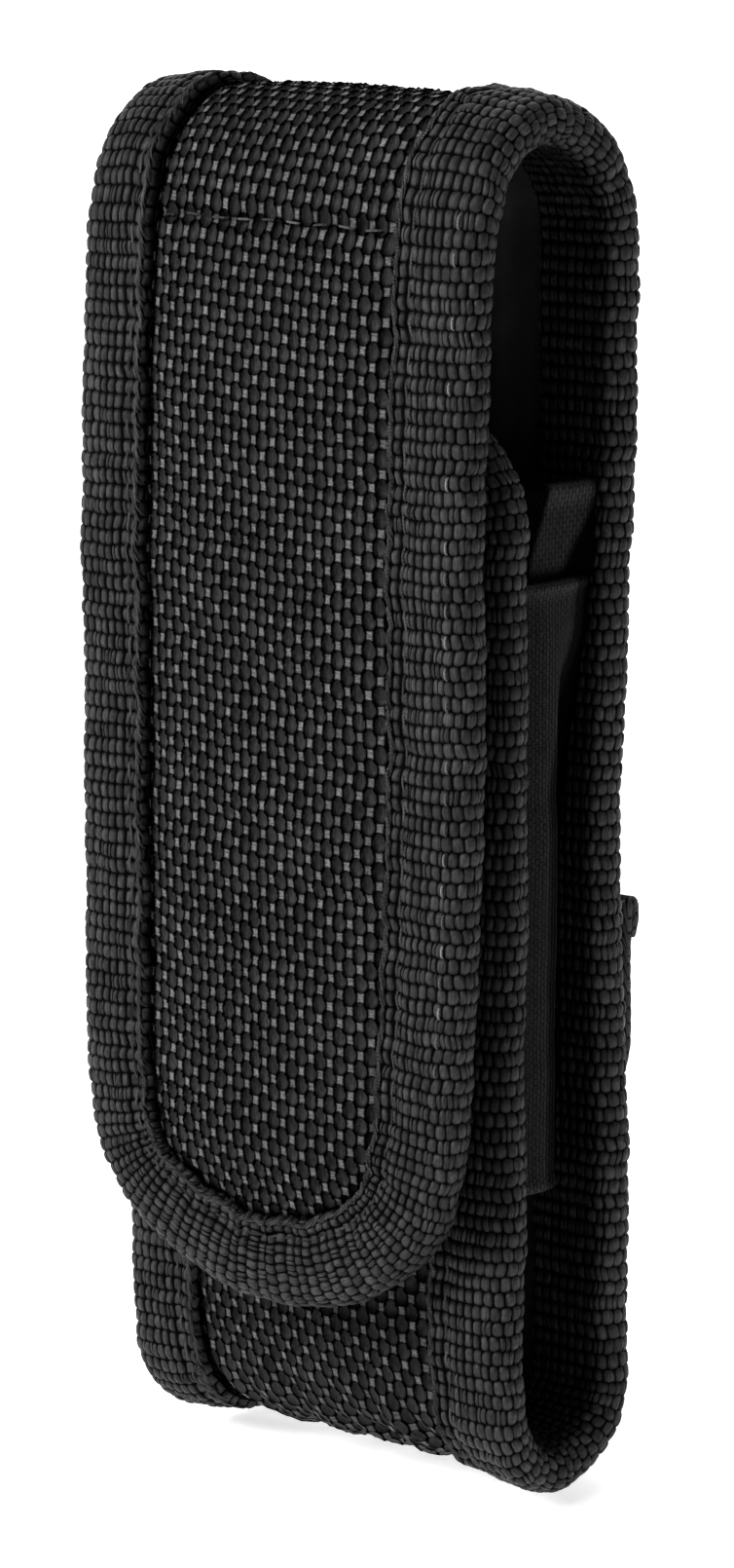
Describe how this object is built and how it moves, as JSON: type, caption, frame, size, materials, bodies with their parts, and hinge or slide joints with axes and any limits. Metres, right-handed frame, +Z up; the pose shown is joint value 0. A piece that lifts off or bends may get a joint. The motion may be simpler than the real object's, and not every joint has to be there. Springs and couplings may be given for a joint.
{
  "type": "belt sheath",
  "caption": "Padded nylon belt sheath for a folding hand tool: rounded flap over an elastic-sided pocket, bound edges, belt loop behind.",
  "frame": {"origin": "centre of the whole part's outline seen from above, at the height of the round bottom's lowest point", "axes": "+Z up towards the top of the arch, +Y back towards the belt loop, +X to the viewer's right when the flap is in front"},
  "size_m": [0.046, 0.0368, 0.13],
  "materials": {
    "cloth": "coarse ballistic nylon weave, satin",
    "foam": "soft closed-cell foam, matt",
    "lining": "smooth coated lining, matt",
    "tape": "ribbed nylon binding tape, satin",
    "elastic": "finely ribbed elastic, matt",
    "webbing": "woven nylon webbing, satin",
    "loop_pile": "brushed loop pile, matt",
    "hook_tape": "moulded hooks, matt",
    "thread": "twisted nylon sewing thread, satin"
  },
  "bodies": {
    "back": {"back_outer": "cloth", "back_foam": "foam", "back_lining": "lining", "back_tape_left": "tape", "back_tape_right": "tape", "back_stitches": "thread", "gusset_left": "elastic", "gusset_right": "elastic", "facing_left": "elastic", "facing_right": "elastic", "belt_strap": "webbing", "strap_loop_patch": "loop_pile", "strap_stitches": "thread", "tab_base": "webbing", "tab_base_stitches": "thread"},
    "pocket": {"pocket_outer": "cloth", "pocket_foam": "foam", "pocket_lining": "lining", "pocket_tape": "tape", "pocket_loop_patch": "loop_pile", "pocket_stitches": "thread"},
    "arch": {"arch_outer": "cloth", "arch_foam": "foam", "arch_lining": "lining", "arch_tape_left": "tape", "arch_tape_right": "tape", "arch_stitches": "thread", "fold_stitches": "thread"},
    "flap": {"flap_outer": "cloth", "flap_foam": "foam", "flap_lining": "lining", "flap_tape": "tape", "flap_hook_patch": "hook_tape", "flap_stitches": "thread"},
    "tab": {"belt_tab": "webbing", "tab_hook_patch": "hook_tape", "tab_hem_stitches": "thread"}
  },
  "joints": [
    {"name": "flap_root_fold", "type": "hinge", "parent": "back", "child": "arch", "pos_m": [0, 0.00895, 0.1163], "axis": [-1, 0, 0], "range_deg": [0, 150]},
    {"name": "flap_front_fold", "type": "hinge", "parent": "arch", "child": "flap", "pos_m": [0, -0.01815, 0.1163], "axis": [-1, 0, 0], "range_deg": [0, 80]},
    {"name": "pocket_squeeze", "type": "hinge", "parent": "back", "child": "pocket", "pos_m": [0, -0.00725, 0.01055], "axis": [-1, 0, 0], "range_deg": [0, 6], "stiffness_Nm_per_rad": 0.05, "deforming": ["gusset_left", "gusset_right", "facing_left", "facing_right"]},
    {"name": "belt_tab_hinge", "type": "hinge", "parent": "back", "child": "tab", "pos_m": [0, 0.01025, 0.03115], "axis": [-1, 0, 0], "range_deg": [0, 100]}
  ]
}
